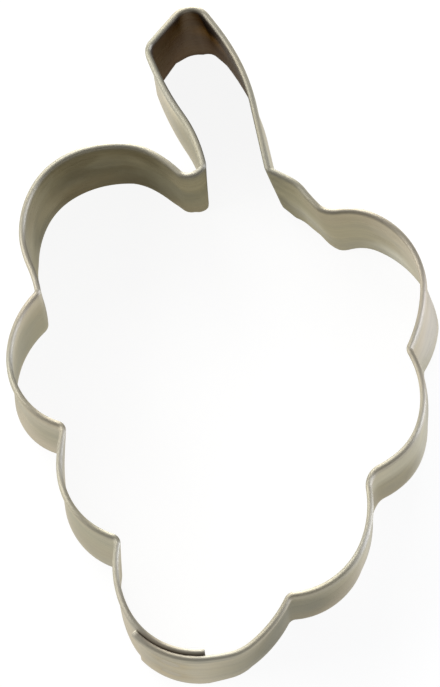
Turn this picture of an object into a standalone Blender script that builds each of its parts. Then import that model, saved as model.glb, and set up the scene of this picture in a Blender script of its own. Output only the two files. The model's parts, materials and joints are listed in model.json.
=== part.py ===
"""Cookie cutter in the outline of a bunch of grapes.

One strip of thin stainless steel stands on edge and is bent all round the outline. Its upper edge is hemmed
outwards, its lower edge is the raw sheet that cuts, and its two ends lap at the bottom left, where two spot
welds join them. Plan sizes are in millimetres, seen from above, with the stem towards +Y.
"""

import math

import bmesh
import bpy
import numpy as np
from mathutils import Matrix, Vector

MM = 0.001

# The outline, over all, seen from above
OUTLINE_WIDTH = 65.1
OUTLINE_LENGTH = 101.6

# The strip
STRIP_HEIGHT = 22.0
SHEET = 0.3

# The hem: how deep it is folded down, and the slot that the open fold leaves
HEM_DEPTH = 1.8
HEM_SLOT = 0.34

# The lap: its length, the play between the two hems, and the play between the plies pressed together below
LAP_LENGTH = 10.5
HEM_PLAY = 0.05
PLY_PLAY = 0.05

# Below the hems the plies come together over this height, and part again over this length past the lap
PRESS_RISE = 3.2
PRESS_FADE = 8.0

# The spot welds, one above the other
WELD_RADIUS = 1.5
WELD_PITCH = 7.0
WELD_LAND = 0.4
WELD_DISH = 0.06
WELD_PLAY = 0.06

# How finely curves are cut into flats
ROUTE_STEP = 0.1
FLAT_LENGTH = 1.8
FLAT_TURN = math.radians(12)
HEM_FLAT_COUNT = 6
SLOT_FLAT_COUNT = 3
PRESS_FLAT_COUNT = 3
WELD_FLAT_COUNT = 24

# How often the outline is measured and stretched again
FIT_COUNT = 3

# The outline as drawn, before it is stretched to its width and length. Bends, clockwise from above: x, y, radius
# on the tight side, and the lean of the cutting edge as dx, dy
BENDS = {
    "low_left": (-13.5, -34.5, 0.3, (-1.2, -0.4)),
    "left": (-21.8, -17.2, 0.3, (-2.0, 0.3)),
    "high_left": (-25.9, 2.9, 0.3, (-0.5, 0.0)),
    "stem_foot_left": (-1.0, 22.4, 0.1, (-0.7, -0.3)),
    "stem_corner": (-9.7, 41.0, 1.4, (-0.1, -0.2)),
    "stem_tip": (-3.6, 48.6, 2.4, (0.9, -0.5)),
    "stem_foot_right": (7.9, 21.5, 0.4, (1.6, 0.4)),
    "neck": (16.8, 14.3, 2.0, (1.6, 0.0)),
    "high_right": (28.8, -6.4, 0.3, (2.0, 1.5)),
    "low_right": (22.2, -25.1, 1.6, (0.5, 0.1)),
    "bottom_right": (11.1, -43.3, 0.3, (-0.5, 0.5)),
}

# Crowns after each bend: x, y, heading of the strip in degrees, and how far the cutting edge flares outwards
CROWNS = {
    "low_left": [(-22.6, -22.9, 87, 0.9)],
    "left": [(-30.2, -6.6, 88, 1.0)],
    "high_left": [
        (-27.3, 7.6, 115, 0.0),
        (-28.5, 13.0, 88, -0.5),
        (-23.0, 23.2, 33, 0.1),
        (-13.3, 25.4, -5, 0.4),
        (-7.2, 22.7, -38, 0.0),
        (-3.7, 20.6, 7, 0.6),
    ],
    "stem_foot_left": [(-4.5, 30.8, 124, 0.4)],
    "stem_corner": [(-6.5, 44.7, 49, 0.5)],
    "stem_tip": [(0.2, 43.8, -54, 1.2), (5.6, 32.1, -78, 1.5)],
    "stem_foot_right": [(11.5, 19.7, -29, 0.4), (14.6, 16.5, -48, 1.2)],
    "neck": [(23.9, 14.0, -24, 0.7), (31.1, 2.6, -92, 2.2)],
    "high_right": [(31.0, -13.0, -86, 0.5), (27.5, -22.2, -140, 0.2)],
    "low_right": [(22.1, -35.5, -110, -0.8)],
    "bottom_right": [(5.5, -50.8, -141, -1.1)],
}

# The inner ply starts here, runs through its own crown and goes on to the first bend
LAP_START = (-1.25, -51.8)
LAP_CROWN = (-12.55, -45.45, 116, 0.7)
LAP_LEAN = (-0.4, 0.0)

# Sizes that follow
HEM_THICKNESS = HEM_SLOT + 2 * SHEET
HEM_FOOT = STRIP_HEIGHT - HEM_DEPTH
PRESS_FOOT = HEM_FOOT - PRESS_RISE
PLY_STEP = HEM_THICKNESS + HEM_PLAY
PRESS_EACH = (PLY_STEP - SHEET - PLY_PLAY) / 2


# Curves in plan

def along(heading):
    return np.array([math.cos(heading), math.sin(heading)])


def outward(heading):
    """The strip runs clockwise, so its outer side is on the left of its heading."""
    return np.array([-math.sin(heading), math.cos(heading)])


def arc(start, heading, end):
    """Points and headings of the circular arc that leaves start with the heading and reaches end."""
    chord = np.subtract(end, start)
    turn = 2 * math.atan2(chord @ outward(heading), chord @ along(heading))
    span = float(np.linalg.norm(chord))
    length = span if abs(turn) < 1e-6 else span * turn / (2 * math.sin(turn / 2))
    shares = np.linspace(0, 1, max(2, math.ceil(length / ROUTE_STEP)))
    headings = heading + turn * shares
    if abs(turn) < 1e-6:
        return start + np.outer(shares, chord), headings
    radius = length / turn
    centre = start + outward(heading) * radius
    points = [centre - outward(angle) * radius for angle in headings]
    return np.array(points), headings


def arc_back(start, end, heading):
    """The circular arc that leaves start and arrives at end with the heading."""
    points, headings = arc(end, heading + math.pi, start)
    return points[::-1], headings[::-1] - math.pi


def biarc(start, start_heading, end, end_heading):
    """Two arcs, smooth where they meet, that join two points with their headings."""
    leave, arrive = along(start_heading), along(end_heading)
    chord = np.subtract(end, start)
    a = 2 * (1 - leave @ arrive)
    b = 2 * (chord @ (leave + arrive))
    c = chord @ chord
    reach = c / b if a < 1e-6 else (math.sqrt(b * b + 4 * a * c) - b) / (2 * a)
    joint = (start + leave * reach + end - arrive * reach) / 2
    return joined([arc(start, start_heading, joint), arc_back(joint, end, end_heading)])


def joined(pieces):
    """Pieces of a route end to end, each shared point kept once and the heading kept unbroken."""
    points, headings = pieces[0]
    for more_points, more_headings in pieces[1:]:
        whole_turns = round((headings[-1] - more_headings[0]) / math.tau)
        points = np.vstack([points, more_points[1:]])
        headings = np.concatenate([headings, more_headings[1:] + whole_turns * math.tau])
    return points, headings


def lengths(points):
    """Distance along a route to each of its points."""
    steps = np.linalg.norm(np.diff(points, axis=0), axis=1)
    return np.concatenate([[0.0], np.cumsum(steps)])


def run(start, crowns, end=None):
    """The strip from one bend, past its crowns with their headings, to the next bend if one is given."""
    places = [np.array(crown[:2]) for crown in crowns]
    headings = [crown[2] for crown in crowns]
    pieces = [arc_back(np.array(start), places[0], headings[0])]
    for i in range(len(crowns) - 1):
        pieces.append(biarc(places[i], headings[i], places[i + 1], headings[i + 1]))
    if end is not None:
        pieces.append(arc(places[-1], headings[-1], np.array(end)))
    return joined(pieces)


def tightest(bend):
    """The least radius in a bend."""
    return np.min(np.diff(lengths(bend[0])) / np.abs(np.diff(bend[1])))


def bend_pieces(before, after, trim):
    """Two runs that meet in a corner, each cut back by a length, and the bend that joins them."""
    before_lengths = lengths(before[0])
    kept_before = before_lengths < before_lengths[-1] - trim
    kept_after = lengths(after[0]) > trim
    before = before[0][kept_before], before[1][kept_before]
    after = after[0][kept_after], after[1][kept_after]
    return before, biarc(before[0][-1], before[1][-1], after[0][0], after[1][0]), after


def rounded(before, after, tight_radius):
    """Two runs that meet in a sharp corner, joined by a bend with at least the given radius on its tight side."""
    turn = math.remainder(after[1][0] - before[1][-1], math.tau)
    radius = tight_radius + HEM_THICKNESS if turn > 0 else tight_radius
    trim = radius * math.tan(abs(turn) / 2)
    pieces = bend_pieces(before, after, trim)
    while tightest(pieces[1]) < radius:
        trim += ROUTE_STEP
        pieces = bend_pieces(before, after, trim)
    return joined(pieces)


class Route:
    """The line of the hem's inner face in plan, and how far the cutting edge leans away from under it.

    The stretch along x and along y carries the outline as drawn to its size.
    """

    def __init__(self, stretch):
        self.stretch = stretch
        first = run(LAP_START * stretch, [self.stretched(LAP_CROWN)], BENDS["low_left"][:2] * stretch)
        lap_crown = (*first[0][0] + outward(first[1][0]) * PLY_STEP, first[1][0])
        names = list(BENDS)
        self.points, self.headings = first
        for name, following in zip(names, names[1:] + [None]):
            crowns = [self.stretched(crown) for crown in CROWNS[name]]
            if following is None:
                piece = run(BENDS[name][:2] * stretch, crowns + [lap_crown])
            else:
                piece = run(BENDS[name][:2] * stretch, crowns, BENDS[following][:2] * stretch)
            self.points, self.headings = rounded((self.points, self.headings), piece, BENDS[name][2])
        self.lengths = lengths(self.points)
        self.length = self.lengths[-1]
        self.lean_marks = self.find_lean_marks()

    def stretched(self, crown):
        """A crown's place, and its heading in radians, once the outline is stretched."""
        heading = math.radians(crown[2])
        ahead = along(heading) * self.stretch
        turn = math.remainder(math.atan2(ahead[1], ahead[0]) - heading, math.tau)
        return *(crown[:2] * self.stretch), heading + turn

    def nearest(self, drawn_place):
        place = drawn_place * self.stretch
        return self.lengths[np.argmin(np.linalg.norm(self.points - place, axis=1))]

    def find_lean_marks(self):
        """Distances along the strip at which the lean is given, and the leans there."""
        marks = [(0.0, LAP_LEAN), (self.length, LAP_LEAN)]
        for x, y, _, lean in BENDS.values():
            marks.append((self.nearest((x, y)), lean))
        for x, y, heading, flare in [LAP_CROWN] + sum(CROWNS.values(), []):
            marks.append((self.nearest((x, y)), tuple(outward(math.radians(heading)) * flare)))
        marks.sort()
        return np.array([mark[0] for mark in marks]), np.array([mark[1] for mark in marks])

    def at(self, distance):
        """Point, heading and lean at a distance along the strip."""
        x, y = (np.interp(distance, self.lengths, self.points[:, axis]) for axis in (0, 1))
        heading = np.interp(distance, self.lengths, self.headings)
        lean = [np.interp(distance, self.lean_marks[0], self.lean_marks[1][:, axis]) for axis in (0, 1)]
        return np.array([x, y]), heading, np.array(lean)

    def place(self, distance, out, height):
        """A point of the wall: out is measured outwards from the hem's inner face, height from the cutting edge."""
        point, heading, lean = self.at(distance)
        point = point + outward(heading) * out + lean * (1 - height / STRIP_HEIGHT)
        return Vector((*point, height)) * MM

    def stations(self):
        """Distances at which the wall is cut into flats, closer in the bends, with one at the lap's end."""
        turns = np.abs(np.diff(self.headings)) / FLAT_TURN
        need = np.concatenate([[0.0], np.cumsum(np.maximum(turns, np.diff(self.lengths) / FLAT_LENGTH))])
        lap_need = np.interp(LAP_LENGTH, self.lengths, need)
        found = []
        for low, high in ((0.0, lap_need), (lap_need, need[-1])):
            levels = np.linspace(low, high, math.ceil(high - low) + 1)
            found.extend(np.interp(levels[:-1], need, self.lengths))
        return found + [self.length]


# The strip's section

def smooth(share):
    """Rises gently from 0 to 1."""
    share = min(max(share, 0.0), 1.0)
    return share * share * (3 - 2 * share)


def half_circle(radius, flats):
    """Points from the outer end of a half circle over its top to the inner end, about the hem's centre."""
    angles = [math.pi * i / flats for i in range(flats + 1)]
    centre = HEM_THICKNESS / 2, STRIP_HEIGHT - HEM_THICKNESS / 2
    return [(centre[0] + radius * math.cos(angle), centre[1] + radius * math.sin(angle)) for angle in angles]


def hemmed_section():
    """Outline of the strip's section as out and height: up the inner face, over the hem, down the outer face."""
    heights = [0.0] + [PRESS_FOOT + PRESS_RISE * i / PRESS_FLAT_COUNT for i in range(PRESS_FLAT_COUNT + 1)]
    inner_face = [(0.0, height) for height in heights]
    over_top = half_circle(HEM_THICKNESS / 2, HEM_FLAT_COUNT)[::-1]
    foot = [(HEM_THICKNESS, HEM_FOOT), (HEM_THICKNESS - SHEET, HEM_FOOT)]
    inside_fold = half_circle(HEM_SLOT / 2, SLOT_FLAT_COUNT)
    outer_face = [(SHEET, height) for height in heights[::-1]]
    return inner_face + over_top + foot + inside_fold + outer_face


def drawn_together(height):
    """Share of the press at a height: none at the hem, all of it where the plies lie together."""
    return smooth((HEM_FOOT - height) / PRESS_RISE)


# Pieces

def steel(name, colour, roughness):
    material = bpy.data.materials.new(name)
    material.use_nodes = True
    shader = material.node_tree.nodes["Principled BSDF"]
    shader.inputs["Base Color"].default_value = (*colour, 1.0)
    shader.inputs["Metallic"].default_value = 1.0
    shader.inputs["Roughness"].default_value = roughness
    return material


def finished(bm, name, material, parent):
    """An object from a closed mesh, shaded smooth where it is round."""
    bmesh.ops.recalc_face_normals(bm, faces=bm.faces)
    mesh = bpy.data.meshes.new(name)
    bm.to_mesh(mesh)
    bm.free()
    mesh.shade_smooth()
    mesh.set_sharp_from_angle(angle=math.radians(35))
    piece = bpy.data.objects.new(name, mesh)
    bpy.context.collection.objects.link(piece)
    piece.parent = parent
    if material:
        mesh.materials.append(material)
    return piece


def strip_rings(route):
    """The section at every station, from the inner ply's end round the outline to the outer ply's end."""
    section = hemmed_section()
    stations = route.stations()
    rings = []
    for distance in stations:
        past_inner = (distance - LAP_LENGTH) / PRESS_FADE
        before_outer = (route.length - distance) / PRESS_FADE
        press = PRESS_EACH * (smooth(1 - past_inner) - smooth(1 - before_outer))
        rings.append([route.place(distance, out + press * drawn_together(height), height)
                      for out, height in section])
    for distance in stations[1:]:
        if distance <= LAP_LENGTH:
            rings.append([route.place(distance, PLY_STEP + out - PRESS_EACH * drawn_together(height), height)
                          for out, height in section])
    return rings


def fitted_route():
    """The outline stretched so that the strip is as wide and as long over all as it should be."""
    route = Route(np.ones(2))
    for _ in range(FIT_COUNT):
        over_all = np.ptp(np.array(sum(strip_rings(route), []))[:, :2] / MM, axis=0)
        missing = (OUTLINE_WIDTH, OUTLINE_LENGTH) - over_all
        route = Route(route.stretch * (1 + missing / np.ptp(route.points, axis=0)))
    return route


def cutter_band(route, material, parent):
    """The strip: its section is extruded from station to station round the outline."""
    rings = strip_rings(route)
    bm = bmesh.new()
    first_ring = [bm.verts.new(point) for point in rings[0]]
    leading_face = bm.faces.new(first_ring)
    for ring in rings[1:]:
        leading_face = bmesh.ops.extrude_discrete_faces(bm, faces=[leading_face])["faces"][0]
        for vert, point in zip(leading_face.verts, ring):
            vert.co = point
    bm.faces.new(first_ring[::-1])
    return finished(bm, "cutter_band", material, parent)


def weld_disc(route, height, radius, inner, outer, dish=0.0):
    """A short cylinder through both plies of the lap, bent with them, with a shallow mark in each face.

    It is turned by half a side, so that none of its own edges crosses an edge between two flats of the strip.
    """
    bm = bmesh.new()
    bmesh.ops.create_cone(bm, cap_ends=True, segments=WELD_FLAT_COUNT, radius1=radius, radius2=radius,
                          depth=outer - inner, matrix=Matrix.Rotation(math.pi / WELD_FLAT_COUNT, 4, "Z"))
    ends = [face for face in bm.faces if len(face.verts) == WELD_FLAT_COUNT]
    if dish:
        bmesh.ops.inset_individual(bm, faces=ends, thickness=WELD_LAND, depth=-dish)
    bmesh.ops.poke(bm, faces=ends)
    for vert in bm.verts:
        side, up, out = vert.co
        vert.co = route.place(LAP_LENGTH / 2 + side, (inner + outer) / 2 + out, height + up)
    return bm


def spot_weld(route, band, level, height, material, parent):
    """A weld nugget and the hole that it fills in the two plies."""
    inner_face = PRESS_EACH
    outer_face = PLY_STEP - PRESS_EACH + SHEET
    nugget = weld_disc(route, height, WELD_RADIUS, inner_face, outer_face, WELD_DISH)
    finished(nugget, f"spot_weld_{level}", material, parent)
    hole = weld_disc(route, height, WELD_RADIUS + WELD_PLAY, inner_face - SHEET, outer_face + SHEET)
    cutter = finished(hole, f"weld_hole_{level}", None, parent)
    cutter.hide_render = True
    cutter.display_type = "WIRE"
    cut = band.modifiers.new(cutter.name, "BOOLEAN")
    cut.operation = "DIFFERENCE"
    cut.object = cutter


def main():
    for thing in list(bpy.data.objects):
        bpy.data.objects.remove(thing, do_unlink=True)
    origin = bpy.data.objects.new("cutter_origin", None)
    bpy.context.collection.objects.link(origin)
    satin_steel = steel("satin_steel", (0.62, 0.59, 0.52), 0.32)
    weld_steel = steel("weld_steel", (0.50, 0.46, 0.40), 0.42)
    route = fitted_route()
    band = cutter_band(route, satin_steel, origin)
    for level, side in (("upper", 1), ("lower", -1)):
        height = (PRESS_FOOT + side * WELD_PITCH) / 2
        spot_weld(route, band, level, height, weld_steel, origin)

    # The origin lies under the middle of the outline
    corners = np.array([vert.co for vert in band.data.vertices])
    middle = (corners.min(axis=0) + corners.max(axis=0)) / 2
    origin.location = (-middle[0], -middle[1], 0.0)
    print("strip length", round(route.length + LAP_LENGTH, 1), "mm, origin moved by", -middle[:2] / MM, "mm")
    print("outline", (corners.max(axis=0) - corners.min(axis=0)) / MM, "mm")


main()
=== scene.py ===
# %% [markdown]
# # A cookie cutter in the outline of a bunch of grapes
#
# The real cutter is one long strip of thin stainless steel. A roller folds its upper edge over, a former
# bends it round the outline, and two spot welds join its ends. This lesson makes the strip the same way: a
# flat grid of faces as long as the strip is folded and bent to its place, and only then gets the thickness
# of the sheet.
#
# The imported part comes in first. Its pieces are a fixed frame: they say where everything is and how large
# it is.

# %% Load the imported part
import json
import math

import bpy
import numpy as np
from mathutils import Matrix, Vector, noise
from mathutils.bvhtree import BVHTree

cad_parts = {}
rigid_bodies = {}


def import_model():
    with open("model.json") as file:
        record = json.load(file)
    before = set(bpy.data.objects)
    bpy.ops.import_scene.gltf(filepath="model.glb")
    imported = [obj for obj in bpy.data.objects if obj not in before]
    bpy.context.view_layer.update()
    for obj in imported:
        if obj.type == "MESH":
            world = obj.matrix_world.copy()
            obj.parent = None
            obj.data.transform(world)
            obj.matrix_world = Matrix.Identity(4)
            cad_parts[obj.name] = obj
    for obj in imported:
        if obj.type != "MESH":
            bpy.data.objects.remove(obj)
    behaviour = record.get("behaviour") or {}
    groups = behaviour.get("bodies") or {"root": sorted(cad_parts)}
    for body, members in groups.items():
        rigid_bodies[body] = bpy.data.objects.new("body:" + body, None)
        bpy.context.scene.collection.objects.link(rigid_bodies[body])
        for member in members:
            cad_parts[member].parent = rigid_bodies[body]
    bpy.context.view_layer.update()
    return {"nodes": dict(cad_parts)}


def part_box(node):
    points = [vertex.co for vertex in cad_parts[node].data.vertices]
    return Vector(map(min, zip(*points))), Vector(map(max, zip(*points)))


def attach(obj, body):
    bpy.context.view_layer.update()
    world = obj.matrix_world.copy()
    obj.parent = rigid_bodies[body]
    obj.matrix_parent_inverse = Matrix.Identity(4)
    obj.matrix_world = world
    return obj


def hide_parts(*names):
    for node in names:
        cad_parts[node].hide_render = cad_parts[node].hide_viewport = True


for thing in list(bpy.data.objects):
    bpy.data.objects.remove(thing, do_unlink=True)

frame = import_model()
MM = 0.001
print("packed pieces:", sorted(frame["nodes"]))


# %% [markdown]
# ## The camera
#
# The photograph looks down on the cutter from above its lower edge, a little from the right, through a long
# lens: the two long sides hardly draw together. An empty is the usual target, but here three vectors are
# enough: where the camera looks from, which way is up in the picture, and which way is right.

# %% Work out the view
VIEW_AZIMUTH = math.radians(11.0)
VIEW_ELEVATION = math.radians(75.8)

looking_from = Vector((math.sin(VIEW_AZIMUTH) * math.cos(VIEW_ELEVATION),
                       -math.cos(VIEW_AZIMUTH) * math.cos(VIEW_ELEVATION),
                       math.sin(VIEW_ELEVATION)))
stem_side = Vector((0.0, 1.0, 0.0))
picture_up = (stem_side - looking_from * stem_side.dot(looking_from)).normalized()
picture_right = picture_up.cross(looking_from)
print("the camera looks from", [round(part, 3) for part in looking_from])

# %% Set up the camera
VIEW_DISTANCE = 1.0
PICTURE_HEIGHT = 687
MM_PER_PIXEL = 0.1532
AIM = Vector((-1.019, 2.963, 0.0)) * MM
AIM_PIXELS_BELOW_MIDDLE = 1.5
SENSOR_MM = 36.0
CLIP_NEAR, CLIP_FAR = 0.05, 20.0

camera_data = bpy.data.cameras.new("photo_camera")
camera_data.sensor_width = SENSOR_MM
camera_data.lens = SENSOR_MM * VIEW_DISTANCE / (PICTURE_HEIGHT * MM_PER_PIXEL * MM)
camera_data.clip_start = CLIP_NEAR
camera_data.clip_end = CLIP_FAR
camera = bpy.data.objects.new("photo_camera", camera_data)
bpy.context.scene.collection.objects.link(camera)
middle = AIM + picture_up * AIM_PIXELS_BELOW_MIDDLE * MM_PER_PIXEL * MM
camera_place = middle + looking_from * VIEW_DISTANCE
camera.matrix_world = Matrix((
    (picture_right.x, picture_up.x, looking_from.x, camera_place.x),
    (picture_right.y, picture_up.y, looking_from.y, camera_place.y),
    (picture_right.z, picture_up.z, looking_from.z, camera_place.z),
    (0.0, 0.0, 0.0, 1.0),
))
bpy.context.scene.camera = camera
print("lens", round(camera_data.lens), "mm")


# %% [markdown]
# ## The sizes of the strip
#
# A raw edge of thin sheet would cut the hand that presses on it, so the strip's upper edge is folded
# outwards and down on itself: that is the hem. Its leaf stands a slot's width away from the wall. Where the
# ends of the strip overlap, the outer hem lies against the inner one. All sizes of the strip and of the plan
# are in millimetres, and they become metres only when a vertex is placed.

# %% Name the sizes of the strip
STRIP_HEIGHT = 22.0
SHEET = 0.3
HEM_SLOT = 0.34
HEM_DEPTH = 1.8
HEM_THICKNESS = HEM_SLOT + 2 * SHEET
HEM_FOOT = STRIP_HEIGHT - HEM_DEPTH
LAP_LENGTH = 10.5
HEM_PLAY = 0.05
PLY_PLAY = 0.05
PLY_STEP = HEM_THICKNESS + HEM_PLAY
PRESS_EACH = (PLY_STEP - SHEET - PLY_PLAY) / 2
print("the hem is", round(HEM_THICKNESS, 2), "mm thick, and at the lap each ply is pressed",
      round(PRESS_EACH, 2), "mm towards the other")


# %% [markdown]
# ## The outline
#
# Seen from above, the strip is a chain of round lobes that meet in tight bends. It could be drawn by eye
# with a Bezier curve, but a former is turned from circles, and arcs keep the lobes as even as the real ones.
# So the outline is written as its bends and, between them, its crowns: points that the strip passes with a
# known heading. Arcs fill in the rest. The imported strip's box then says how far the drawing has to be
# stretched to be as wide and as long as the real one.

# %% List the bends
# Clockwise from above: x, y, radius on the tight side, and the lean of the cutting edge as dx, dy
BENDS = {
    "low_left": (-13.5, -34.5, 0.3, (-1.2, -0.4)),
    "left": (-21.8, -17.2, 0.3, (-2.0, 0.3)),
    "high_left": (-25.9, 2.9, 0.3, (-0.5, 0.0)),
    "stem_foot_left": (-1.0, 22.4, 0.1, (-0.7, -0.3)),
    "stem_corner": (-9.7, 41.0, 1.4, (-0.1, -0.2)),
    "stem_tip": (-3.6, 48.6, 2.4, (0.9, -0.5)),
    "stem_foot_right": (7.9, 21.5, 0.4, (1.6, 0.4)),
    "neck": (16.8, 14.3, 2.0, (1.6, 0.0)),
    "high_right": (28.8, -6.4, 0.3, (2.0, 1.5)),
    "low_right": (22.2, -25.1, 1.6, (0.5, 0.1)),
    "bottom_right": (11.1, -43.3, 0.3, (-0.5, 0.5)),
}
print(len(BENDS), "bends")

# %% List the crowns between the bends
# After each bend: x, y, heading of the strip in degrees, and how far the cutting edge flares outwards
CROWNS = {
    "low_left": [(-22.6, -22.9, 87, 0.9)],
    "left": [(-30.2, -6.6, 88, 1.0)],
    "high_left": [
        (-27.3, 7.6, 115, 0.0),
        (-28.5, 13.0, 88, -0.5),
        (-23.0, 23.2, 33, 0.1),
        (-13.3, 25.4, -5, 0.4),
        (-7.2, 22.7, -38, 0.0),
        (-3.7, 20.6, 7, 0.6),
    ],
    "stem_foot_left": [(-4.5, 30.8, 124, 0.4)],
    "stem_corner": [(-6.5, 44.7, 49, 0.5)],
    "stem_tip": [(0.2, 43.8, -54, 1.2), (5.6, 32.1, -78, 1.5)],
    "stem_foot_right": [(11.5, 19.7, -29, 0.4), (14.6, 16.5, -48, 1.2)],
    "neck": [(23.9, 14.0, -24, 0.7), (31.1, 2.6, -92, 2.2)],
    "high_right": [(31.0, -13.0, -86, 0.5), (27.5, -22.2, -140, 0.2)],
    "low_right": [(22.1, -35.5, -110, -0.8)],
    "bottom_right": [(5.5, -50.8, -141, -1.1)],
}

# The inner ply starts here and runs through its own crown to the first bend
LAP_START = (-1.25, -51.8)
LAP_CROWN = (-12.55, -45.45, 116, 0.7)
LAP_LEAN = (-0.4, 0.0)
print(sum(len(crowns) for crowns in CROWNS.values()), "crowns, and one more in the lap")


# %% Draw an arc by its end points and its first heading
ARC_STEP = 0.1
NEARLY_STRAIGHT = 1e-6


def along(heading):
    return np.array([math.cos(heading), math.sin(heading)])


def outward(heading):
    """The strip runs clockwise, so its outer side is on the left of its heading."""
    return np.array([-math.sin(heading), math.cos(heading)])


def arc(start, heading, end):
    """Points and headings of the circular arc that leaves start with the heading and reaches end."""
    chord = np.subtract(end, start)
    turn = 2 * math.atan2(chord @ outward(heading), chord @ along(heading))
    straight = abs(turn) < NEARLY_STRAIGHT
    span = float(np.linalg.norm(chord))
    length = span if straight else span * turn / (2 * math.sin(turn / 2))
    shares = np.linspace(0, 1, max(2, math.ceil(length / ARC_STEP)))
    headings = heading + turn * shares
    if straight:
        return start + np.outer(shares, chord), headings
    radius = length / turn
    centre = start + outward(heading) * radius
    return np.array([centre - outward(angle) * radius for angle in headings]), headings


quarter_circle = arc(np.zeros(2), 0.0, np.array([10.0, 10.0]))
print("a quarter circle of radius 10 mm has", len(quarter_circle[0]), "points")


# %% Join arcs smoothly

def arc_back(start, end, heading):
    """The circular arc that leaves start and arrives at end with the heading."""
    points, headings = arc(end, heading + math.pi, start)
    return points[::-1], headings[::-1] - math.pi


def joined(pieces):
    """Arcs end to end, each shared point kept once and the heading kept unbroken."""
    points, headings = pieces[0]
    for more_points, more_headings in pieces[1:]:
        whole_turns = round((headings[-1] - more_headings[0]) / math.tau)
        points = np.vstack([points, more_points[1:]])
        headings = np.concatenate([headings, more_headings[1:] + whole_turns * math.tau])
    return points, headings


def biarc(start, start_heading, end, end_heading):
    """Two arcs, smooth where they meet, that join two points with their headings.

    Both leave their ends by the same reach before they turn. The reach solves a quadratic equation.
    """
    leave, arrive = along(start_heading), along(end_heading)
    chord = np.subtract(end, start)
    a = 2 * (1 - leave @ arrive)
    b = 2 * (chord @ (leave + arrive))
    c = chord @ chord
    reach = c / b if a < NEARLY_STRAIGHT else (math.sqrt(b * b + 4 * a * c) - b) / (2 * a)
    meeting = (start + leave * reach + end - arrive * reach) / 2
    return joined([arc(start, start_heading, meeting), arc_back(meeting, end, end_heading)])


s_bend = biarc(np.zeros(2), 0.0, np.array([10.0, 5.0]), 0.0)
print("an S-bend of two arcs turns up to", round(math.degrees(s_bend[1].max())), "degrees and back")


# %% Draw a lobe through its crowns

def lengths(points):
    """Distance along a line to each of its points."""
    steps = np.linalg.norm(np.diff(points, axis=0), axis=1)
    return np.concatenate([[0.0], np.cumsum(steps)])


def lobe(start, crowns, end=None):
    """The strip from one bend, past its crowns with their headings, to the next bend if one is given."""
    places = [np.array(crown[:2]) for crown in crowns]
    headings = [crown[2] for crown in crowns]
    pieces = [arc_back(np.array(start), places[0], headings[0])]
    for i in range(len(crowns) - 1):
        pieces.append(biarc(places[i], headings[i], places[i + 1], headings[i + 1]))
    if end is not None:
        pieces.append(arc(places[-1], headings[-1], np.array(end)))
    return joined(pieces)


def stretched(crown, stretch):
    """A crown's place, and its heading in radians, once the outline is stretched along x and y."""
    heading = math.radians(crown[2])
    ahead = along(heading) * stretch
    turn = math.remainder(math.atan2(ahead[1], ahead[0]) - heading, math.tau)
    return *(crown[:2] * stretch), heading + turn


low_left_crowns = [stretched(crown, np.ones(2)) for crown in CROWNS["low_left"]]
low_left_lobe = lobe(BENDS["low_left"][:2], low_left_crowns, BENDS["left"][:2])
print("the lobe after the first bend is", round(float(lengths(low_left_lobe[0])[-1]), 1), "mm long")


# %% Bend the strip where two lobes meet

def bend_pieces(before, after, trim):
    """Two lobes that meet in a corner, each cut back by a length, and the bend that joins them."""
    before_lengths = lengths(before[0])
    kept = before_lengths < before_lengths[-1] - trim
    before = before[0][kept], before[1][kept]
    kept = lengths(after[0]) > trim
    after = after[0][kept], after[1][kept]
    return before, biarc(before[0][-1], before[1][-1], after[0][0], after[1][0]), after


def tightest(bend):
    """The least radius in a bend."""
    return np.min(np.diff(lengths(bend[0])) / np.abs(np.diff(bend[1])))


def bent(before, after, tight_radius):
    """Two lobes that meet in a corner, joined by a bend no tighter than the radius on its tight side."""
    turn = math.remainder(after[1][0] - before[1][-1], math.tau)
    radius = tight_radius + HEM_THICKNESS if turn > 0 else tight_radius
    trim = radius * math.tan(abs(turn) / 2)
    pieces = bend_pieces(before, after, trim)
    while tightest(pieces[1]) < radius:
        trim += ARC_STEP
        pieces = bend_pieces(before, after, trim)
    return joined(pieces)


# %% Draw the whole outline

def draw_outline(stretch):
    """Points and headings of the hem's inner face, from the inner ply's end round to the same place."""
    outline = lobe(LAP_START * stretch, [stretched(LAP_CROWN, stretch)],
                   BENDS["low_left"][:2] * stretch)
    lap_crown = (*outline[0][0] + outward(outline[1][0]) * PLY_STEP, outline[1][0])
    names = list(BENDS)
    for name, following in zip(names, names[1:] + [None]):
        crowns = [stretched(crown, stretch) for crown in CROWNS[name]]
        if following is None:
            piece = lobe(BENDS[name][:2] * stretch, crowns + [lap_crown])
        else:
            piece = lobe(BENDS[name][:2] * stretch, crowns, BENDS[following][:2] * stretch)
        outline = bent(outline, piece, BENDS[name][2])
    return outline


drawn = draw_outline(np.ones(2))
print("as drawn, the outline is", round(float(lengths(drawn[0])[-1]), 1), "mm round")


# %% [markdown]
# ## From the flat strip to its place
#
# Each point of the strip is known by three numbers: how far it lies along the strip, how far out from the
# hem's inner face, and how high above the cutting edge. One function carries such a point to its place. The
# walls don't stand quite upright, because steel springs back after each bend: the cutting edge leans out
# from under the hem, or in, by up to two and a half millimetres. Where the ends overlap, the welder has
# squeezed the two plies together below the hems.

# %% Find how the cutting edge leans along the strip

def find_leans(outline, stretch):
    """Lengths along the strip at which the lean is known, and the leans there."""
    points, at = outline[0], lengths(outline[0])
    marks = [(0.0, LAP_LEAN), (at[-1], LAP_LEAN)]
    known = [((x, y), lean) for x, y, _, lean in BENDS.values()]
    for x, y, heading, flare in [LAP_CROWN] + sum(CROWNS.values(), []):
        known.append(((x, y), tuple(outward(math.radians(heading)) * flare)))
    for place, lean in known:
        marks.append((at[np.argmin(np.linalg.norm(points - place * stretch, axis=1))], lean))
    marks.sort()
    return np.array([mark[0] for mark in marks]), np.array([mark[1] for mark in marks])


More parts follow.
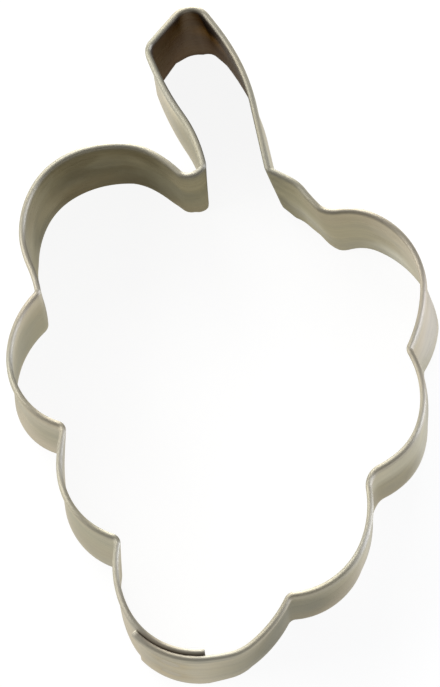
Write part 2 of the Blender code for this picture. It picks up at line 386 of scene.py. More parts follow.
print("the lean is known at", len(find_leans(drawn, np.ones(2))[0]), "places and drawn evenly between them")


# %% Measure how far the strip reaches in the drawing

def strip_extent(outline, stretch):
    """The lines that the hem's outer face and the cutting edge follow, singly and on the lap."""
    points, headings = outline
    at = lengths(points)
    out = np.array([outward(heading) for heading in headings])
    lean_at, leans = find_leans(outline, stretch)
    lean = np.array([np.interp(at, lean_at, leans[:, axis]) for axis in (0, 1)]).T
    hem = points + out * HEM_THICKNESS
    edge = points + out * SHEET + lean
    lapped = at <= LAP_LENGTH
    outer_hem = (hem + out * PLY_STEP)[lapped]
    outer_edge = (edge + out * (PLY_STEP - PRESS_EACH))[lapped]
    return np.vstack([hem, points + lean, edge, outer_hem, outer_edge])


band_low, band_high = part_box("cutter_band")
band_size = np.array([band_high[axis] - band_low[axis] for axis in (0, 1)]) / MM
drawn_size = np.ptp(strip_extent(drawn, np.ones(2)), axis=0)
print("drawn", drawn_size.round(2), "mm wide and long, packed", band_size.round(2), "mm")

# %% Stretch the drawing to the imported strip's width and length
FIT_ROUNDS = 3

stretch = np.ones(2)
for _ in range(FIT_ROUNDS):
    drawn = draw_outline(stretch)
    missing = band_size - np.ptp(strip_extent(drawn, stretch), axis=0)
    stretch = stretch * (1 + missing / np.ptp(drawn[0], axis=0))
route_points, route_headings = draw_outline(stretch)
route_lengths = lengths(route_points)
ROUTE_LENGTH = float(route_lengths[-1])
lean_lengths, leans = find_leans((route_points, route_headings), stretch)
print("stretched by", stretch.round(5), "- the flat strip is", round(ROUTE_LENGTH + LAP_LENGTH, 1),
      "mm long, and its edge leans by up to", round(float(np.linalg.norm(leans, axis=1).max()), 1), "mm")


# %% Squeeze the plies together at the lap
PRESS_RISE = 3.2
PRESS_FADE = 8.0


def eased(share):
    """Rises gently from 0 to 1."""
    share = min(max(share, 0.0), 1.0)
    return share * share * (3 - 2 * share)


def squeezed(distance, height):
    """How far the squeeze moves the sheet outwards. The outer ply moves inwards."""
    height_share = eased((HEM_FOOT - height) / PRESS_RISE)
    if distance > ROUTE_LENGTH:
        return -PRESS_EACH * height_share
    past_inner = eased(1 - (distance - LAP_LENGTH) / PRESS_FADE)
    before_outer = eased(1 - (ROUTE_LENGTH - distance) / PRESS_FADE)
    return PRESS_EACH * height_share * (past_inner - before_outer)


print("half way up, the squeeze moves the inner ply by", round(squeezed(0.0, STRIP_HEIGHT / 2), 2), "mm")

# %% Carry a point of the strip to its place
HAND_BENT = 0.12
HAND_BENT_SPAN = Vector((9.0, 9.0, 16.0))


def unevenness(x, y, height):
    """Steel bent by hand is never quite even. It moves inwards only, so the outline keeps its size."""
    where = Vector((x / HAND_BENT_SPAN.x, y / HAND_BENT_SPAN.y, height / HAND_BENT_SPAN.z))
    return HAND_BENT * (noise.noise(where) - 1) / 2


def placed(distance, out, height):
    """A point of the strip in plan millimetres, before the outline is centred."""
    on_outer_ply = distance > ROUTE_LENGTH
    at = distance - ROUTE_LENGTH if on_outer_ply else distance
    x, y = (np.interp(at, route_lengths, route_points[:, axis]) for axis in (0, 1))
    heading = np.interp(at, route_lengths, route_headings)
    lean = np.array([np.interp(at, lean_lengths, leans[:, axis]) for axis in (0, 1)])
    out = out + squeezed(distance, height) + (PLY_STEP if on_outer_ply else 0.0)
    out += unevenness(x, y, height)
    point = np.array([x, y]) + outward(heading) * out + lean * (1 - height / STRIP_HEIGHT)
    return Vector((point[0], point[1], height))


print("the inner ply starts at", [round(part, 2) for part in placed(0.0, 0.0, 0.0)])


# %% [markdown]
# ## Where the strip is cut into rows
#
# Rows of vertices go across the strip. A round wall looks smooth when each row turns it by a few degrees, so
# the rows are close in the tight bends and wider apart on the lobes. Up the sheet, the fold and the squeezed
# zone below the hem need them close.

# %% Choose the rows along the strip
ROW_GAP = 0.7
ROW_TURN = math.radians(6)

turns = np.abs(np.diff(route_headings)) / ROW_TURN
need = np.concatenate([[0.0], np.cumsum(np.maximum(turns, np.diff(route_lengths) / ROW_GAP))])
rows = list(np.interp(np.linspace(0, need[-1], math.ceil(need[-1]) + 1), need, route_lengths))
lap_rows = math.ceil(np.interp(LAP_LENGTH, route_lengths, need))
rows += [ROUTE_LENGTH + LAP_LENGTH * i / lap_rows for i in range(1, lap_rows + 1)]
print(len(rows), "rows along the strip,", lap_rows, "of them in the outer ply of the lap")

# %% Choose the rows up the sheet
# They follow the middle of the sheet, from the cutting edge up the wall, over the fold and down the leaf
WALL_STEPS = 16
PRESS_STEPS = 6
FOLD_STEPS = 12
LEAF_STEPS = 2

fold_middle = HEM_THICKNESS / 2, STRIP_HEIGHT - HEM_THICKNESS / 2
fold_radius = (HEM_THICKNESS - SHEET) / 2
wall_out = SHEET / 2
press_foot = HEM_FOOT - PRESS_RISE
sheet_line = [(wall_out, press_foot * i / WALL_STEPS) for i in range(WALL_STEPS)]
sheet_line += [(wall_out, press_foot + PRESS_RISE * i / PRESS_STEPS) for i in range(PRESS_STEPS + 1)]
for i in range(FOLD_STEPS + 1):
    angle = math.pi * (1 - i / FOLD_STEPS)
    sheet_line.append((fold_middle[0] + fold_radius * math.cos(angle),
                       fold_middle[1] + fold_radius * math.sin(angle)))
for i in range(1, LEAF_STEPS + 1):
    sheet_line.append((HEM_THICKNESS - wall_out,
                       fold_middle[1] + (HEM_FOOT - fold_middle[1]) * i / LEAF_STEPS))
sheet_lengths = lengths(np.array(sheet_line))
print(len(sheet_line), "rows up the sheet, which is", round(float(sheet_lengths[-1]), 1),
      "mm wide before the fold")


# %% [markdown]
# ## The strip
#
# A grid primitive is the flat strip. Every vertex of it knows its row and its place up the sheet, and goes
# where the function above says. Its UV map keeps the flat strip's own lengths in metres, so that a finish can
# later run along the strip as the rolling lines do. Then the Solidify modifier gives the sheet its thickness,
# half to each side, and a small Bevel breaks the sheared edges, which catch the light on real sheet metal.

# %% Lay out the flat grid

def deselect_all():
    bpy.ops.object.select_all(action="DESELECT")


deselect_all()
bpy.ops.mesh.primitive_grid_add(x_subdivisions=len(rows) - 1, y_subdivisions=len(sheet_line) - 1,
                                size=1, calc_uvs=True, location=(0, 0, 0))
band = bpy.context.object
band.name = "hemmed_band"
band.data.name = "hemmed_band"
print("a flat grid of", len(band.data.vertices), "vertices")

# %% Bend the grid to its place
extent = strip_extent((route_points, route_headings), stretch)
drawn_middle = (extent.min(axis=0) + extent.max(axis=0)) / 2
packed_middle = [(band_low[axis] + band_high[axis]) / (2 * MM) for axis in (0, 1)]
to_frame = Vector((*(packed_middle - drawn_middle), 0.0))

grid_places = []
for vertex in band.data.vertices:
    row = round((vertex.co.x + 0.5) * (len(rows) - 1))
    up = round((vertex.co.y + 0.5) * (len(sheet_line) - 1))
    grid_places.append((row, up))
    vertex.co = (placed(rows[row], *sheet_line[up]) + to_frame) * MM
print("moved by", [round(part, 3) for part in to_frame[:2]], "mm to lie on the packed part")

# %% Give the UV map the strip's own lengths
strip_map = band.data.uv_layers.active
strip_map.name = "strip_lengths"
for loop in band.data.loops:
    row, up = grid_places[loop.vertex_index]
    strip_map.data[loop.index].uv = (rows[row] * MM, float(sheet_lengths[up]) * MM)
print("the UV map runs to", round(rows[-1] * MM, 4), "m along and", round(float(sheet_lengths[-1]) * MM, 4),
      "m up")

# %% Give the sheet its thickness and break its edges
EDGE_BREAK = 0.04
EDGE_SHARPER_THAN = math.radians(60)
EDGE_STEPS = 2


def apply_all_modifiers(piece):
    deselect_all()
    piece.select_set(True)
    bpy.context.view_layer.objects.active = piece
    for modifier in list(piece.modifiers):
        bpy.ops.object.modifier_apply(modifier=modifier.name)


thickness = band.modifiers.new("sheet_thickness", "SOLIDIFY")
thickness.thickness = SHEET * MM
thickness.offset = 0.0
thickness.use_even_offset = True
edges = band.modifiers.new("broken_edges", "BEVEL")
edges.limit_method = "ANGLE"
edges.angle_limit = EDGE_SHARPER_THAN
edges.width = EDGE_BREAK * MM
edges.segments = EDGE_STEPS
apply_all_modifiers(band)
print("the sheet has", len(band.data.polygons), "faces")

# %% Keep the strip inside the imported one's box
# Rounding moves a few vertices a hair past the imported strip's faces. They go back to them.
for vertex in band.data.vertices:
    for axis in range(3):
        vertex.co[axis] = min(max(vertex.co[axis], band_low[axis]), band_high[axis])
print("highest vertex", round(max(vertex.co.z for vertex in band.data.vertices) / MM, 3), "mm")


# %% [markdown]
# ## The spot welds
#
# Two electrodes squeeze the overlap and melt a small disc of steel, which joins both plies and leaves a
# shallow round mark on each face. A painted ring would vanish as the light moves, so each mark is modelled:
# a cylinder whose ends are inset and pushed in, bent with the lap, in a hole that the Boolean modifier cuts
# with a plain cylinder. Both cylinders are made at the origin and then carried to the lap.

# %% Make a cylinder across both plies
WELD_SIDES = 64
INNER_FACE = PRESS_EACH
OUTER_FACE = PLY_STEP - PRESS_EACH + SHEET


def weld_cylinder(name, radius, inner, outer):
    """A cylinder across both plies, turned so that no edge of its side meets a row of the strip."""
    deselect_all()
    bpy.ops.mesh.primitive_cylinder_add(vertices=WELD_SIDES, radius=radius * MM,
                                        depth=(outer - inner) * MM,
                                        location=(0, 0, (inner + outer) / 2 * MM),
                                        rotation=(0, 0, math.pi / WELD_SIDES))
    piece = bpy.context.object
    piece.name = name
    piece.data.name = name
    bpy.ops.object.transform_apply(location=True, rotation=True, scale=False)
    return piece


print("both plies together are", round(OUTER_FACE - INNER_FACE, 2), "mm thick at the welds")

# %% Dish the cylinder's ends
WELD_LAND = 0.35
WELD_DISH = 0.06
WELD_DISH_MIDDLE = WELD_DISH / 3
FACES_AN_END = 0.9


def dish_ends(piece):
    """Insets the faces that look along the cylinder's axis, and pushes them in as the electrodes do."""
    bpy.ops.object.mode_set(mode="EDIT")
    bpy.ops.mesh.select_mode(type="FACE")
    bpy.ops.mesh.select_all(action="DESELECT")
    bpy.ops.object.mode_set(mode="OBJECT")
    for face in piece.data.polygons:
        face.select = abs(face.normal.z) > FACES_AN_END
    bpy.ops.object.mode_set(mode="EDIT")
    bpy.ops.mesh.inset(thickness=WELD_LAND * MM)
    bpy.ops.mesh.inset(thickness=WELD_LAND * MM, depth=-WELD_DISH * MM)
    bpy.ops.mesh.inset(thickness=WELD_LAND * MM, depth=-WELD_DISH_MIDDLE * MM)
    bpy.ops.mesh.poke()
    bpy.ops.object.mode_set(mode="OBJECT")


print("each end is dished by", round(WELD_DISH + WELD_DISH_MIDDLE, 2), "mm")

# %% Bend a piece with the lap

def bent_with_lap(piece, height):
    """A piece modelled about the origin, with x back along the strip, y up and z outwards, goes to the lap.

    With x forward along the strip, the three directions would be mirrored and the piece turned inside out.
    """
    piece_map = piece.data.uv_layers.active
    piece_map.name = "strip_lengths"
    for loop in piece.data.loops:
        side, up, _ = piece.data.vertices[loop.vertex_index].co
        piece_map.data[loop.index].uv = (LAP_LENGTH / 2 * MM - side, height * MM + up)
    for vertex in piece.data.vertices:
        side, up, out = vertex.co / MM
        at = LAP_LENGTH / 2 - side
        unsqueezed = placed(at, 0.0, height + up) - placed(at, squeezed(at, height + up), height + up)
        vertex.co = (placed(at, out, height + up) + unsqueezed + to_frame) * MM


print("a weld sits in the middle of the lap,", LAP_LENGTH / 2, "mm from the inner ply's end")

# %% Set the discs in their holes
WELD_RADIUS = 1.5
WELD_PITCH = 7.0
WELD_FIT = 0.02

weld_heights = {"upper": (press_foot + WELD_PITCH) / 2, "lower": (press_foot - WELD_PITCH) / 2}
discs = {}
for level, height in weld_heights.items():
    disc = weld_cylinder(f"weld_disc_{level}", WELD_RADIUS, INNER_FACE, OUTER_FACE)
    dish_ends(disc)
    bent_with_lap(disc, height)
    hole = weld_cylinder(f"weld_hole_{level}", WELD_RADIUS + WELD_FIT,
                         INNER_FACE - SHEET, OUTER_FACE + SHEET)
    bent_with_lap(hole, height)
    cut = band.modifiers.new(f"hole_{level}", "BOOLEAN")
    cut.operation = "DIFFERENCE"
    cut.solver = "EXACT"
    cut.object = hole
    apply_all_modifiers(band)
    bpy.data.objects.remove(hole, do_unlink=True)
    discs[level] = disc
print("welds at", weld_heights, "mm; the band has", len(band.data.polygons), "faces")

# %% Shade the round faces smooth
SMOOTH_BELOW = math.radians(35)

for piece in (band, *discs.values()):
    deselect_all()
    piece.select_set(True)
    bpy.context.view_layer.objects.active = piece
    bpy.ops.object.shade_smooth_by_angle(angle=SMOOTH_BELOW)
print("edges of less than", round(math.degrees(SMOOTH_BELOW)), "degrees are shaded smooth")

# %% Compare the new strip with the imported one
packed = frame["nodes"]["cutter_band"]
packed_tree = BVHTree.FromPolygons([vertex.co for vertex in packed.data.vertices],
                                   [face.vertices for face in packed.data.polygons])
gaps = [packed_tree.find_nearest(vertex.co)[3] / MM for vertex in band.data.vertices]
print("the new strip lies within", round(max(gaps), 2), "mm of the packed one, on average",
      round(sum(gaps) / len(gaps), 3), "mm")


# %% [markdown]
# ## What the finish has to know
#
# The steel isn't the same all over. The inner face is painted with a brown shade, the welds have left a breath
# of heat colour around them, and the sides of the two hems that face the lap's gap are painted dark with
# shade. Both faces of the sheet share one UV map, so the map can't tell them apart.
# Their normals can. What each vertex has to say is kept as an attribute of the mesh: how far it looks
# inwards, how near it is to a weld, and how deep it lies in the lap's gap. The steel's nodes read all three.

# %% Find where each vertex lies on the flat strip
flat_place = np.zeros((len(band.data.vertices), 2))
for loop in band.data.loops:
    flat_place[loop.vertex_index] = band.data.uv_layers["strip_lengths"].data[loop.index].uv
flat_place /= MM
strip_place, sheet_place = flat_place.T
outline_place = strip_place % ROUTE_LENGTH


def keep_attribute(name, values):
    band.data.attributes.new(name, "FLOAT", "POINT").data.foreach_set("value", values)


print("the vertices lie from", strip_place.min().round(2), "to", strip_place.max().round(2),
      "mm along the strip")

# %% Mark the inner face
headings = np.interp(outline_place, route_lengths, route_headings)
looks_inwards = np.array([-(outward(heading) @ vertex.normal[:2])
                          for heading, vertex in zip(headings, band.data.vertices)])
# This attribute masks the painted shade on the inner face.
keep_attribute("looks_inwards", looks_inwards)
print(int(np.sum(looks_inwards > 0.5)), "of", len(looks_inwards), "vertices look inwards")

# %% Mark the heat of the welds
HEAT_REACH = 1.8

from_weld = np.min([np.hypot(outline_place - LAP_LENGTH / 2, sheet_place - height)
                    for height in weld_heights.values()], axis=0)
weld_heat = np.exp(-((np.maximum(from_weld - WELD_RADIUS, 0) / HEAT_REACH) ** 2))
keep_attribute("weld_heat", weld_heat)
print(int(np.sum(weld_heat > 0.1)), "vertices lie in the heat of a weld")

# %% Mark the sides of the two hems that face the gap between them
# The sides marked here take painted shade: the gap between the hems is darkened.
LAP_FADE = 1.0
OUTER_FALL, INNER_RISE = 2.5, 1.5
UV_ROUNDING = 0.01
FOLD_FROM = STRIP_HEIGHT - HEM_THICKNESS / 2
FOLD_TO = FOLD_FROM + math.pi * fold_radius

over_the_fold = np.clip((sheet_place - FOLD_FROM) / (FOLD_TO - FOLD_FROM), 0, 1)
outer_side = (1 - over_the_fold) ** OUTER_FALL * (sheet_place > HEM_FOOT)
inner_side = over_the_fold ** INNER_RISE
faces_gap = np.where(strip_place > ROUTE_LENGTH - UV_ROUNDING, outer_side, inner_side)
lap_gap = faces_gap * np.clip((LAP_LENGTH - outline_place) / LAP_FADE, 0, 1)
keep_attribute("lap_gap", lap_gap)
print(int(np.sum(lap_gap > 0.5)), "vertices face the lap's gap")


# %% [markdown]
# ## The steel
#
# Rolled stainless steel isn't one flat grey: its colour drifts between warm, olive and grey, and handling
# leaves duller patches. Noise on Object coordinates gives both, at the scale of a finger's width. Steel has no
# colour but that of its reflections, so each stain, painted shade and painted highlight that follows tints
# both of the shader's mirror colours: Base Color, seen straight on, and Specular Tint, seen at the low angle
# at which the photograph sees every wall. A few small functions make the nodes, so that each line below says
# what a colour is made of.

# %% Make and link a node in one line

def new_material(name):
    """A material with nodes, its node tree, and its shader."""
    material = bpy.data.materials.new(name)
    material.use_nodes = True
    return material, material.node_tree, material.node_tree.nodes["Principled BSDF"]


def noise_on(tree, vector, scale, detail, name):
    texture = tree.nodes.new("ShaderNodeTexNoise")
    texture.name = name
    texture.inputs["Scale"].default_value = scale
    texture.inputs["Detail"].default_value = detail
    tree.links.new(vector, texture.inputs["Vector"])
    return texture.outputs["Fac"]


def in_range(tree, value, from_ends, to_ends=(0.0, 1.0)):
    """Maps a value from one range to another, and no further."""
    node = tree.nodes.new("ShaderNodeMapRange")
    for socket, number in zip(("From Min", "From Max", "To Min", "To Max"), from_ends + to_ends):
        node.inputs[socket].default_value = number
    tree.links.new(value, node.inputs["Value"])
    return node.outputs["Result"]


def attribute_of(tree, name):
    node = tree.nodes.new("ShaderNodeAttribute")
    node.attribute_name = name
    return node.outputs["Fac"]


# %% Reckon with values and mix colours
# A Mix node has sockets for each kind of value. These are the numbers of the ones for colours
MIX_FIRST, MIX_SECOND, MIX_RESULT = 6, 7, 2


def reckoned(tree, operation, first, second):
    """A sum or a product of two values, the second a number or another node's output."""
    node = tree.nodes.new("ShaderNodeMath")
    node.operation = operation
    tree.links.new(first, node.inputs[0])
    if isinstance(second, float):
        node.inputs[1].default_value = second
    else:
        tree.links.new(second, node.inputs[1])
    return node.outputs["Value"]


def mixed(tree, share, first, second, blend="MIX"):
    """A colour between two colours, each a tuple or another node's output. So is the share."""
    node = tree.nodes.new("ShaderNodeMix")
    node.data_type = "RGBA"
    node.blend_type = blend
    if isinstance(share, float):
        node.inputs["Factor"].default_value = share
    else:
        tree.links.new(share, node.inputs["Factor"])
    for socket, colour in ((node.inputs[MIX_FIRST], first), (node.inputs[MIX_SECOND], second)):
        if isinstance(colour, tuple):
            socket.default_value = (*colour, 1.0)
        else:
            tree.links.new(colour, socket)
    return node.outputs[MIX_RESULT]


def multiplied(tree, first, second):
    return mixed(tree, 1.0, first, second, "MULTIPLY")


# %% Mix the colour of the clean steel
STEEL_WARM = (0.57, 0.515, 0.41)
STEEL_OLIVE = (0.53, 0.505, 0.39)
STEEL_GREY = (0.55, 0.52, 0.45)
TINGE_SCALE, TINGE_DETAIL, TINGE_RANGE = 45.0, 2.0, (0.35, 0.65)
PATCH_SCALE, PATCH_DETAIL = 90.0, 3.0
GREY_RANGE, GREY_SHARE = (0.4, 0.7), (0.0, 0.6)

satin, steel, satin_shader = new_material("satin_steel")
satin_shader.inputs["Metallic"].default_value = 1.0
place = steel.nodes.new("ShaderNodeTexCoord").outputs["Object"]
patches = noise_on(steel, place, PATCH_SCALE, PATCH_DETAIL, "handled_patches")
tinge = noise_on(steel, place, TINGE_SCALE, TINGE_DETAIL, "warm_tinge")
warm_or_olive = mixed(steel, in_range(steel, tinge, TINGE_RANGE), STEEL_WARM, STEEL_OLIVE)
clean_colour = mixed(steel, in_range(steel, patches, GREY_RANGE, GREY_SHARE), warm_or_olive, STEEL_GREY)
print("patches about", round(1 / (PATCH_SCALE * MM)), "mm across, in a tinge that changes over about",
      round(1 / (TINGE_SCALE * MM)), "mm")

# %% [markdown]
# A few marks of painted shade darken the steel, most of all at the lower right, and a few marks of painted
# highlight brighten it. A painted mask would do, but a mark is simply a place in space with a soft rim, so
# each is a distance to its middle, mapped to a share of its tint.

# %% Lay on the marks of painted shade and highlight
WHITE = (1.0, 1.0, 1.0)
STEEL_DULL, DULL_RANGE = (0.88, 0.895, 0.915), (0.42, 0.72)
# Each mark: its middle, the radius of its core and of the whole mark, and its tint
# Marks of painted shade, darker than the steel around them.
PAINTED_SHADE_MARKS = (
    ((9.0, -41.0, 8.0), 7.0, 16.0, (0.66, 0.665, 0.66)),
    ((25.0, -21.0, 5.0), 4.0, 8.0, (0.80, 0.785, 0.76)),
    ((-30.0, 2.0, 8.0), 7.0, 13.0, (0.84, 0.84, 0.80)),
    ((-4.0, 33.5, 8.0), 3.0, 8.0, (0.84, 0.84, 0.83)),
    ((-19.5, -30.0, 10.0), 5.0, 11.0, (0.89, 0.90, 0.89)),
    ((-26.0, -14.5, 10.0), 2.0, 7.0, (0.86, 0.88, 0.87)),
)
# Marks of painted highlight, tinted brighter than the steel around them.
PAINTED_HIGHLIGHT_MARKS = (
    ((-9.5, 39.5, 15.0), 2.0, 7.0, (1.20, 1.18, 1.17)),
    ((27.0, 16.5, 4.0), 1.5, 5.0, (1.15, 1.17, 1.22)),
    ((33.0, 3.5, 8.0), 4.0, 10.0, (1.08, 1.08, 1.16)),
    ((21.5, -32.0, 18.0), 3.0, 7.0, (1.10, 1.12, 1.20)),
    ((13.5, 22.0, 6.0), 2.0, 6.0, (1.18, 1.19, 1.25)),
    ((-3.9, 24.0, 16.0), 2.0, 5.0, (1.16, 1.13, 1.08)),
    ((-1.5, 48.0, 12.0), 1.0, 4.0, (1.30, 1.19, 1.06)),
)

# The random duller patches are the steel's wear, and the marks multiplied in below are painted shade and
# highlight.
wear_and_painted_light_tint = mixed(steel, in_range(steel, patches, DULL_RANGE), WHITE, STEEL_DULL)
for mark_middle, core, radius, tint in PAINTED_SHADE_MARKS + PAINTED_HIGHLIGHT_MARKS:
    from_middle = steel.nodes.new("ShaderNodeVectorMath")
    from_middle.operation = "DISTANCE"
    from_middle.inputs[1].default_value = Vector(mark_middle) * MM
    steel.links.new(place, from_middle.inputs[0])
    in_mark = in_range(steel, from_middle.outputs["Value"], (core * MM, radius * MM), (1.0, 0.0))
    wear_and_painted_light_tint = mixed(steel, in_mark, wear_and_painted_light_tint, tint, "MULTIPLY")
# In this print, the dulled marks are painted shade and the rubbed marks are painted highlight.
print(len(PAINTED_SHADE_MARKS), "dulled and", len(PAINTED_HIGHLIGHT_MARKS), "rubbed marks")

# %% [markdown]
# The mill's rolls leave fine lines along the strip. They could be an image, but noise stretched far along the
# UV map's first direction does as well at any distance. The lines spread reflections across the strip, so
# the shader is anisotropic: its tangent comes from the UV map, and a rotation of a quarter turn lays the
# spread across the lines. Broader streaks of the same kind tint the steel a little.

# %% Draw out noise along the strip
LINE_DETAIL = 3.0
# Scales along and across the strip
ROLL_LINES = (30.0, 5000.0)
BROAD_LINES = (14.0, 600.0)

strip_uv = steel.nodes.new("ShaderNodeUVMap")
strip_uv.uv_map = "strip_lengths"


def lines_along_strip(name, scale):
    drawn_out = steel.nodes.new("ShaderNodeMapping")
    drawn_out.inputs["Scale"].default_value = (*scale, 1.0)
    steel.links.new(strip_uv.outputs["UV"], drawn_out.inputs["Vector"])
    return noise_on(steel, drawn_out.outputs["Vector"], 1.0, LINE_DETAIL, name)


roll_lines = lines_along_strip("roll_lines", ROLL_LINES)
broad_lines = lines_along_strip("broad_lines", BROAD_LINES)
print("fine lines about", round(1 / (ROLL_LINES[1] * MM), 1), "mm wide, and streaks about",
      round(1 / (BROAD_LINES[1] * MM), 1), "mm wide")

# %% Spread reflections across the rolling lines
LINE_SPREAD, ACROSS_LINES = 0.75, 0.25
LINE_BUMP, LINE_DEPTH = 0.15, 0.01
STREAK_RANGE = (0.35, 0.65)
STREAK_DARK, STREAK_BRIGHT = (0.93, 0.93, 0.93), (1.0, 0.995, 0.98)

satin_shader.inputs["Anisotropic"].default_value = LINE_SPREAD
satin_shader.inputs["Anisotropic Rotation"].default_value = ACROSS_LINES
tangent = steel.nodes.new("ShaderNodeTangent")
tangent.direction_type = "UV_MAP"
tangent.uv_map = "strip_lengths"
steel.links.new(tangent.outputs["Tangent"], satin_shader.inputs["Tangent"])
bump = steel.nodes.new("ShaderNodeBump")
bump.inputs["Strength"].default_value = LINE_BUMP
bump.inputs["Distance"].default_value = LINE_DEPTH * MM
steel.links.new(roll_lines, bump.inputs["Height"])
steel.links.new(bump.outputs["Normal"], satin_shader.inputs["Normal"])
streaks = mixed(steel, in_range(steel, broad_lines, STREAK_RANGE), STREAK_DARK, STREAK_BRIGHT)
print("the rolling lines are up to", LINE_DEPTH, "mm deep")

# %% [markdown]
# The inner face is painted with shade. It is brown and darkest at the stem's end, and lighter towards the
# other end. A colour ramp along one slanted direction does this, moved a little by a noise so that its edge is
# never straight. The painted shade ends at the hem's crown.

# %% Let the painted shade darken towards the stem
SHADE_SLANT = -0.15
SHADE_ENDS = (0.0, 50.0)
RAGGED_SCALE, RAGGED_DETAIL, RAGGED_RANGE = 120.0, 3.0, (0.3, 0.7)
RAGGED_SHIFT = (-2.0, 2.0)
# The stops are colours of painted shade, from none up to the darkest at the stem's end.
SHADE_STOPS = (
    (0.21, (1.0, 1.0, 0.99)),
    (0.27, (0.83, 0.82, 0.78)),
    (0.40, (0.77, 0.76, 0.70)),
    (0.47, (0.61, 0.60, 0.55)),
    (0.53, (0.58, 0.57, 0.52)),
    (0.61, (0.415, 0.40, 0.365)),
    (0.78, (0.39, 0.355, 0.34)),
    (0.96, (0.32, 0.285, 0.28)),
)


def in_metres(ends):
    return tuple(end * MM for end in ends)


parts = steel.nodes.new("ShaderNodeSeparateXYZ")
steel.links.new(place, parts.inputs["Vector"])
slant = reckoned(steel, "MULTIPLY", parts.outputs["X"], SHADE_SLANT)
towards_stem = reckoned(steel, "ADD", parts.outputs["Y"], slant)
shade_edge_noise = noise_on(steel, place, RAGGED_SCALE, RAGGED_DETAIL, "shade_edge_noise")
ragged = in_range(steel, shade_edge_noise, RAGGED_RANGE, in_metres(RAGGED_SHIFT))
shade_depth = in_range(steel, reckoned(steel, "ADD", towards_stem, ragged), in_metres(SHADE_ENDS))
shade_ramp = steel.nodes.new("ShaderNodeValToRGB")
shade_ramp.name = "painted_inner_shade"
stops = shade_ramp.color_ramp.elements
while len(stops) < len(SHADE_STOPS):
    stops.new(1.0)
for stop, (share, colour) in zip(stops, SHADE_STOPS):
    stop.position = share
    stop.color = (*colour, 1.0)
steel.links.new(shade_depth, shade_ramp.inputs["Fac"])
# In this print, the film is the painted shade of the inner face.
print("the film starts", SHADE_STOPS[0][0] * SHADE_ENDS[1], "mm above the middle and has", len(stops), "shades")

# %% Keep the painted shade to the inner face, up to the hem's crown
CROWN_FADE = (21.4, 22.1)
INWARDS_RANGE = (0.2, 0.7)

strip_parts = steel.nodes.new("ShaderNodeSeparateXYZ")
steel.links.new(strip_uv.outputs["UV"], strip_parts.inputs["Vector"])
up_the_sheet = strip_parts.outputs["Y"]
below_crown = in_range(steel, up_the_sheet, in_metres(CROWN_FADE), (1.0, 0.0))
inner_face = in_range(steel, attribute_of(steel, "looks_inwards"), INWARDS_RANGE)
shaded_share = reckoned(steel, "MULTIPLY", inner_face, below_crown)
# The inner face takes the painted shade below the hem's crown.
inner_shade_tint = mixed(steel, shaded_share, WHITE, shade_ramp.outputs["Color"])
# In this print, the film is the painted shade of the inner face.
print("the film fades out from", CROWN_FADE[0], "to", CROWN_FADE[1], "mm up the sheet")

# %% [markdown]
# All tints are multiplied, the heat colour and the painted shade and highlights alike, each letting through
# its share of the light. The hem has been rolled over a mandrel, which leaves it less smooth than the wall, so
# it is rougher.

# %% Put the steel together
STEEL_EDGE_ON = (0.845, 0.805, 0.70)
HEAT_STRAW = (0.97, 0.94, 0.88)
GAP_SHADE = (0.42, 0.36, 0.34)
LINE_RANGE, WALL_ROUGH = (0.3, 0.7), (0.26, 0.40)
HEM_START, HEM_ROUGH = (20.6, 21.6), (0.0, 0.2)

heat_tint = mixed(steel, attribute_of(steel, "weld_heat"), WHITE, HEAT_STRAW)
# The sides of the hems that face the lap's gap are darkened with painted shade.
gap_shade_tint = mixed(steel, attribute_of(steel, "lap_gap"), WHITE, GAP_SHADE)
# The inner-face tint and the gap tint are painted shade, and the heat colour is the steel's own. The marks are
# painted shade and highlight, and the patches and streaks are the steel's own.
heat_and_painted_shade = multiplied(steel, inner_shade_tint, multiplied(steel, heat_tint, gap_shade_tint))
stains_and_painted_light = multiplied(steel, heat_and_painted_shade, multiplied(steel, wear_and_painted_light_tint, streaks))
steel.links.new(multiplied(steel, clean_colour, stains_and_painted_light), satin_shader.inputs["Base Color"])
steel.links.new(multiplied(steel, STEEL_EDGE_ON, stains_and_painted_light), satin_shader.inputs["Specular Tint"])
wall_rough = in_range(steel, roll_lines, LINE_RANGE, WALL_ROUGH)
hem_rough = in_range(steel, up_the_sheet, in_metres(HEM_START), HEM_ROUGH)
steel.links.new(reckoned(steel, "ADD", wall_rough, hem_rough), satin_shader.inputs["Roughness"])
band.data.materials.clear()
band.data.materials.append(satin)
print("satin steel of", len(steel.nodes), "nodes")

# %% [markdown]
# The discs are the same steel, melted and pressed: the electrodes flatten its lines, and the heat darkens
# and warms it in fine specks. So its material is a copy of the satin steel, with its own colour and
# roughness linked in place of the old ones.

# %% Mix the weld steel
WELD_DARK, WELD_BRIGHT = (0.46, 0.42, 0.34), (0.55, 0.51, 0.42)
SPECK_SCALE, SPECK_DETAIL, SPECK_RANGE = 900.0, 4.0, (0.3, 0.7)
WELD_ROUGH = (0.32, 0.44)

weld_steel = satin.copy()
weld_steel.name = "weld_steel"
weld = weld_steel.node_tree
weld_shader = weld.nodes["Principled BSDF"]
weld_place = weld.nodes.new("ShaderNodeTexCoord").outputs["Object"]
specks = noise_on(weld, weld_place, SPECK_SCALE, SPECK_DETAIL, "weld_speckle")
weld.links.new(mixed(weld, specks, WELD_DARK, WELD_BRIGHT), weld_shader.inputs["Base Color"])
weld.links.new(in_range(weld, specks, SPECK_RANGE, WELD_ROUGH), weld_shader.inputs["Roughness"])
for disc in discs.values():
    disc.data.materials.clear()
    disc.data.materials.append(weld_steel)
print("specks about", round(1 / (SPECK_SCALE * MM), 1), "mm across")


# %% [markdown]
# ## The hand-over
#
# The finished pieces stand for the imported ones, which stay for the physics and are hidden. The cutter has no
# moving part, so every piece rides on the one body, the root.

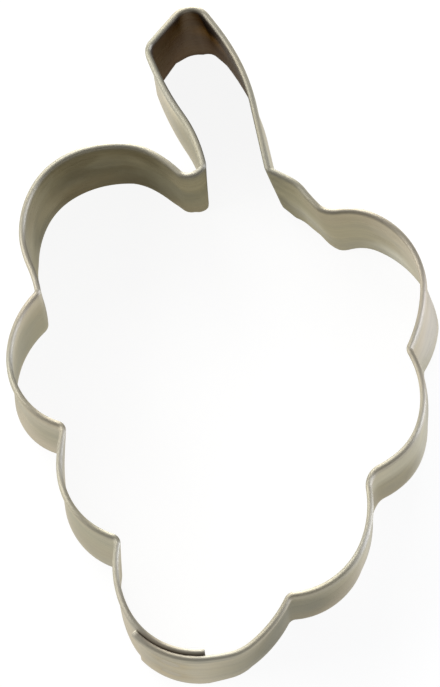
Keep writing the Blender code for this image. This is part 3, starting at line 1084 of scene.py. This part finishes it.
# %% Hand the pieces over to the frame
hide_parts("cutter_band")
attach(band, "root")
for level, disc in discs.items():
    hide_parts(f"spot_weld_{level}")
    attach(disc, "root")
print("new pieces:", band.name, *[disc.name for disc in discs.values()])


# %% [markdown]
# ## The studio
#
# The cutter stands on white. A floor lit to white would need so much light that the steel burns out, so the
# floor itself glows, but only for rays from the camera and from shiny or clear things: it is seen and
# mirrored as white, sheds no other light, and keeps the object's shadow. It lies a hair below the cutting
# edge, so that the two never share a plane.

# %% Lay the floor
FLOOR_SIZE = 3.0
FLOOR_DROP = 0.05
FLOOR_GREY = (0.15, 0.15, 0.15)
FLOOR_GLOW = 0.90

deselect_all()
bpy.ops.mesh.primitive_plane_add(size=FLOOR_SIZE, location=(0, 0, -FLOOR_DROP * MM))
floor = bpy.context.object
floor.name = "studio_floor"
floor_paint, paint, paint_shader = new_material("floor_paint")
paint_shader.inputs["Base Color"].default_value = (*FLOOR_GREY, 1.0)
paint_shader.inputs["Roughness"].default_value = 1.0
paint_shader.inputs["Specular IOR Level"].default_value = 0.0
paint_shader.inputs["Emission Color"].default_value = (*WHITE, 1.0)
ray = paint.nodes.new("ShaderNodeLightPath")
seen = ray.outputs["Is Camera Ray"]
for kind in ("Is Glossy Ray", "Is Transmission Ray"):
    seen = reckoned(paint, "MAXIMUM", seen, ray.outputs[kind])
glow = reckoned(paint, "MULTIPLY", seen, FLOOR_GLOW)
paint.links.new(glow, paint_shader.inputs["Emission Strength"])
floor.data.materials.append(floor_paint)
print("a floor", FLOOR_SIZE, "m wide")

# %% [markdown]
# Steel shows what is around it, so the surroundings are half of its look. The camera looks almost straight
# down the walls, and each wall shows the floor at its foot and, through the spread of the rolling lines, a
# tall narrow slice of the room in front of it. In the photograph the walls that look left and right are
# bright and those that look towards the lower right are dull, as a window behind the cutter would do. Two
# soft lamps, one above the other, stand for the window, a third for the pale room on the left, and a low,
# cool one for the daylight on the right. The world gives the rest of the room a weak, even light.

# %% Hang the lamps
LAMP_DISTANCE, LAMP_SIZE = 1.2, 0.7
DAYLIGHT = (0.74, 0.79, 1.0)
# Each lamp: azimuth and elevation in degrees, power and colour. Azimuth 0 is towards +X, 90 towards +Y
LAMPS = {
    "window_low": (90, 12, 16.0, WHITE),
    "window_high": (120, 38, 7.0, WHITE),
    "room_left": (180, 38, 6.0, WHITE),
    "room_right": (0, 12, 9.5, DAYLIGHT),
}

for name, (azimuth, elevation, power, colour) in LAMPS.items():
    azimuth, elevation = math.radians(azimuth), math.radians(elevation)
    towards_lamp = Vector((math.cos(azimuth) * math.cos(elevation),
                           math.sin(azimuth) * math.cos(elevation),
                           math.sin(elevation)))
    lamp_data = bpy.data.lights.new(name, "AREA")
    lamp_data.shape = "SQUARE"
    lamp_data.size = LAMP_SIZE
    lamp_data.energy = power
    lamp_data.color = colour
    lamp = bpy.data.objects.new(name, lamp_data)
    bpy.context.scene.collection.objects.link(lamp)
    lamp.location = towards_lamp * LAMP_DISTANCE
    lamp.rotation_euler = towards_lamp.to_track_quat("Z", "Y").to_euler()
print(len(LAMPS), "lamps,", sum(lamp[2] for lamp in LAMPS.values()), "watts together")

# %% Light the room
WORLD_STRENGTH = 0.3

world = bpy.data.worlds.new("studio")
bpy.context.scene.world = world
world.use_nodes = True
background = world.node_tree.nodes["Background"]
background.inputs["Color"].default_value = (*WHITE, 1.0)
background.inputs["Strength"].default_value = WORLD_STRENGTH
bpy.context.scene.view_settings.view_transform = "Standard"
print("view transform", bpy.context.scene.view_settings.view_transform)
